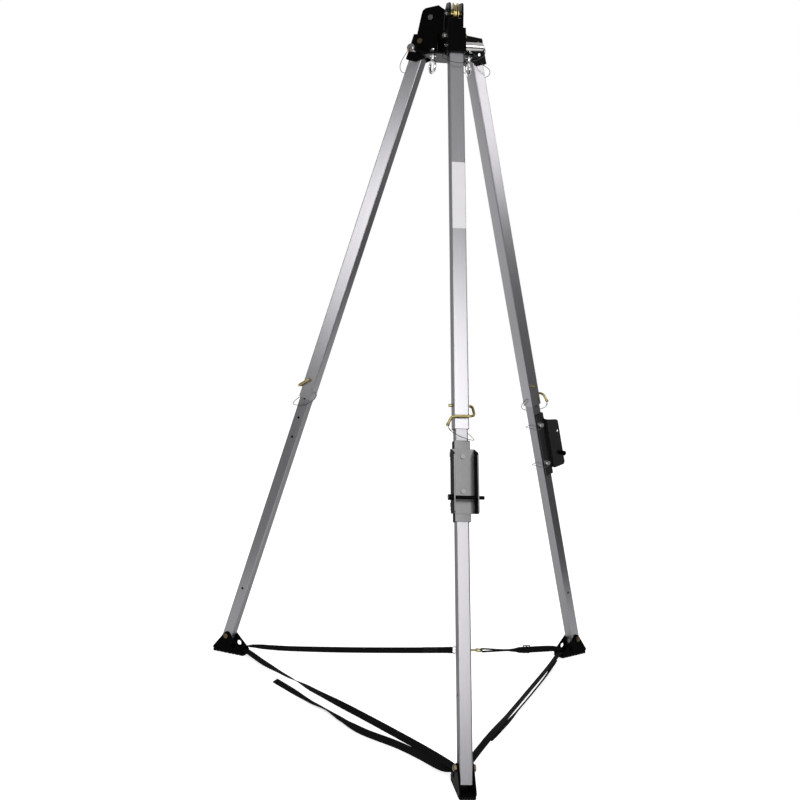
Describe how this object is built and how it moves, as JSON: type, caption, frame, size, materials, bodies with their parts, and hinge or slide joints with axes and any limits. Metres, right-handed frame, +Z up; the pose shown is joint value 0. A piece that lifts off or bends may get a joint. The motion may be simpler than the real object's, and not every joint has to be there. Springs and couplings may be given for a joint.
{
  "type": "rescue tripod",
  "caption": "Portable rescue tripod with telescoping square-tube legs on a hinged pulley head, pinned winch saddles, tilting feet and a webbing foot strap.",
  "frame": {"origin": "on the ground at the centre of the bounding box in plan", "axes": "+Z up from the ground, -Y from the origin towards the front leg's foot, +X to the right leg's side; millimetres in the source, metres here"},
  "size_m": [1.588, 1.3752, 2.5927],
  "materials": {
    "brushed_tube": "clear satin",
    "anodised_tube": "clear satin",
    "yellow_zinc": "yellow zinc plate",
    "bright_steel": "bright zinc plate",
    "wire": "coated wire rope",
    "webbing": "woven",
    "sole_rubber": "matte",
    "black_paint": "satin black"
  },
  "bodies": {
    "head": {"head_plate": "black_paint", "bracket_front": "black_paint", "bracket_right": "black_paint", "bracket_left": "black_paint", "pulley_housing_front": "black_paint", "pulley_housing_left": "black_paint", "pulley_axles": "bright_steel", "eye_bolts": "bright_steel", "pivot_bolts": "yellow_zinc", "head_nuts": "bright_steel", "lock_lanyard_front": "wire", "lock_lanyard_right": "wire", "lock_lanyard_left": "wire", "strap_left": "webbing", "strap_right": "webbing", "strap_tail": "webbing", "strap_ring": "bright_steel", "strap_hook": "yellow_zinc", "strap_slider": "bright_steel"},
    "upper_front": {"upper_tube_front": "brushed_tube", "pin_lanyard_front": "wire"},
    "lower_front": {"lower_tube_front": "anodised_tube", "foot_bolt_front": "yellow_zinc", "saddle_front": "black_paint", "cradle_front": "black_paint", "cradle_bolts_front": "bright_steel", "pin_keepers_front": "bright_steel"},
    "leg_pin_front": {"leg_pin_front": "yellow_zinc"},
    "lock_pin_front": {"lock_pin_front": "bright_steel"},
    "foot_front": {"foot_front": "black_paint", "foot_pad_front": "sole_rubber"},
    "saddle_pin_front_upper": {"saddle_pin_front_upper": "bright_steel"},
    "saddle_pin_front_lower": {"saddle_pin_front_lower": "bright_steel"},
    "keeper_bar_front": {"keeper_bar_front": "bright_steel"},
    "sheave_front": {"sheave_front": "yellow_zinc"},
    "upper_right": {"upper_tube_right": "brushed_tube", "pin_lanyard_right": "wire"},
    "lower_right": {"lower_tube_right": "anodised_tube", "foot_bolt_right": "yellow_zinc", "saddle_right": "black_paint", "cradle_right": "black_paint", "cradle_bolts_right": "bright_steel", "pin_keepers_right": "bright_steel"},
    "leg_pin_right": {"leg_pin_right": "yellow_zinc"},
    "lock_pin_right": {"lock_pin_right": "bright_steel"},
    "foot_right": {"foot_right": "black_paint", "foot_pad_right": "sole_rubber"},
    "saddle_pin_right_upper": {"saddle_pin_right_upper": "bright_steel"},
    "saddle_pin_right_lower": {"saddle_pin_right_lower": "bright_steel"},
    "keeper_bar_right": {"keeper_bar_right": "bright_steel"},
    "upper_left": {"upper_tube_left": "brushed_tube", "pin_lanyard_left": "wire"},
    "lower_left": {"lower_tube_left": "anodised_tube", "foot_bolt_left": "yellow_zinc"},
    "leg_pin_left": {"leg_pin_left": "yellow_zinc"},
    "lock_pin_left": {"lock_pin_left": "bright_steel"},
    "foot_left": {"foot_left": "black_paint", "foot_pad_left": "sole_rubber"},
    "sheave_left": {"sheave_left": "yellow_zinc"}
  },
  "joints": [
    {"name": "fold_front", "type": "hinge", "parent": "head", "child": "upper_front", "pos_m": [0, 0.11067, 2.46053], "axis": [1, 0, 0], "range_deg": [0, 16], "deforming": ["strap_left", "strap_right", "strap_tail", "strap_ring", "strap_hook", "strap_slider"]},
    {"name": "extend_front", "type": "slide", "parent": "upper_front", "child": "lower_front", "axis": [0, -0.294, -0.9558], "range_m": [0, 0.495]},
    {"name": "leg_pin_pull_front", "type": "slide", "parent": "upper_front", "child": "leg_pin_front", "axis": [1, 0, 0], "range_m": [0, 0.07], "deforming": ["pin_lanyard_front"]},
    {"name": "foot_tilt_front", "type": "hinge", "parent": "lower_front", "child": "foot_front", "pos_m": [0, -0.62413, 0.072], "axis": [1, 0, 0], "range_deg": [-20, 20]},
    {"name": "lock_pin_pull_front", "type": "slide", "parent": "head", "child": "lock_pin_front", "axis": [1, 0, 0], "range_m": [0, 0.075], "deforming": ["lock_lanyard_front"]},
    {"name": "sheave_spin_front", "type": "hinge", "parent": "head", "child": "sheave_front", "pos_m": [0, 0.14596, 2.54802], "axis": [1, 0, 0], "continuous": true},
    {"name": "saddle_pin_pull_front_upper", "type": "slide", "parent": "lower_front", "child": "saddle_pin_front_upper", "axis": [-1, 0, 0], "range_m": [0, 0.065], "deforming": ["pin_keepers_front"]},
    {"name": "saddle_pin_pull_front_lower", "type": "slide", "parent": "lower_front", "child": "saddle_pin_front_lower", "axis": [-1, 0, 0], "range_m": [0, 0.065]},
    {"name": "keeper_bar_pull_front", "type": "slide", "parent": "lower_front", "child": "keeper_bar_front", "axis": [-1, 0, 0], "range_m": [0, 0.102]},
    {"name": "fold_right", "type": "hinge", "parent": "head", "child": "upper_right", "pos_m": [0.09041, 0.26727, 2.46053], "axis": [-0.5, 0.866, 0], "range_deg": [0, 16]},
    {"name": "extend_right", "type": "slide", "parent": "upper_right", "child": "lower_right", "axis": [0.2546, 0.147, -0.9558], "range_m": [0, 0.495]},
    {"name": "leg_pin_pull_right", "type": "slide", "parent": "upper_right", "child": "leg_pin_right", "axis": [-0.5, 0.866, 0], "range_m": [0, 0.07], "deforming": ["pin_lanyard_right"]},
    {"name": "foot_tilt_right", "type": "hinge", "parent": "lower_right", "child": "foot_right", "pos_m": [0.72677, 0.63468, 0.072], "axis": [-0.5, 0.866, 0], "range_deg": [-20, 20]},
    {"name": "lock_pin_pull_right", "type": "slide", "parent": "head", "child": "lock_pin_right", "axis": [-0.5, 0.866, 0], "range_m": [0, 0.075], "deforming": ["lock_lanyard_right"]},
    {"name": "saddle_pin_pull_right_upper", "type": "slide", "parent": "lower_right", "child": "saddle_pin_right_upper", "axis": [0.5, -0.866, 0], "range_m": [0, 0.065], "deforming": ["pin_keepers_right"]},
    {"name": "saddle_pin_pull_right_lower", "type": "slide", "parent": "lower_right", "child": "saddle_pin_right_lower", "axis": [0.5, -0.866, 0], "range_m": [0, 0.065]},
    {"name": "keeper_bar_pull_right", "type": "slide", "parent": "lower_right", "child": "keeper_bar_right", "axis": [0.5, -0.866, 0], "range_m": [0, 0.102]},
    {"name": "fold_left", "type": "hinge", "parent": "head", "child": "upper_left", "pos_m": [-0.09041, 0.26727, 2.46053], "axis": [-0.5, -0.866, 0], "range_deg": [0, 16]},
    {"name": "extend_left", "type": "slide", "parent": "upper_left", "child": "lower_left", "axis": [-0.2546, 0.147, -0.9558], "range_m": [0, 0.495]},
    {"name": "leg_pin_pull_left", "type": "slide", "parent": "upper_left", "child": "leg_pin_left", "axis": [-0.5, -0.866, 0], "range_m": [0, 0.07], "deforming": ["pin_lanyard_left"]},
    {"name": "foot_tilt_left", "type": "hinge", "parent": "lower_left", "child": "foot_left", "pos_m": [-0.72677, 0.63468, 0.072], "axis": [-0.5, -0.866, 0], "range_deg": [-20, 20]},
    {"name": "lock_pin_pull_left", "type": "slide", "parent": "head", "child": "lock_pin_left", "axis": [-0.5, -0.866, 0], "range_m": [0, 0.075], "deforming": ["lock_lanyard_left"]},
    {"name": "sheave_spin_left", "type": "hinge", "parent": "head", "child": "sheave_left", "pos_m": [-0.05985, 0.24963, 2.54802], "axis": [-0.5, -0.866, 0], "continuous": true}
  ]
}
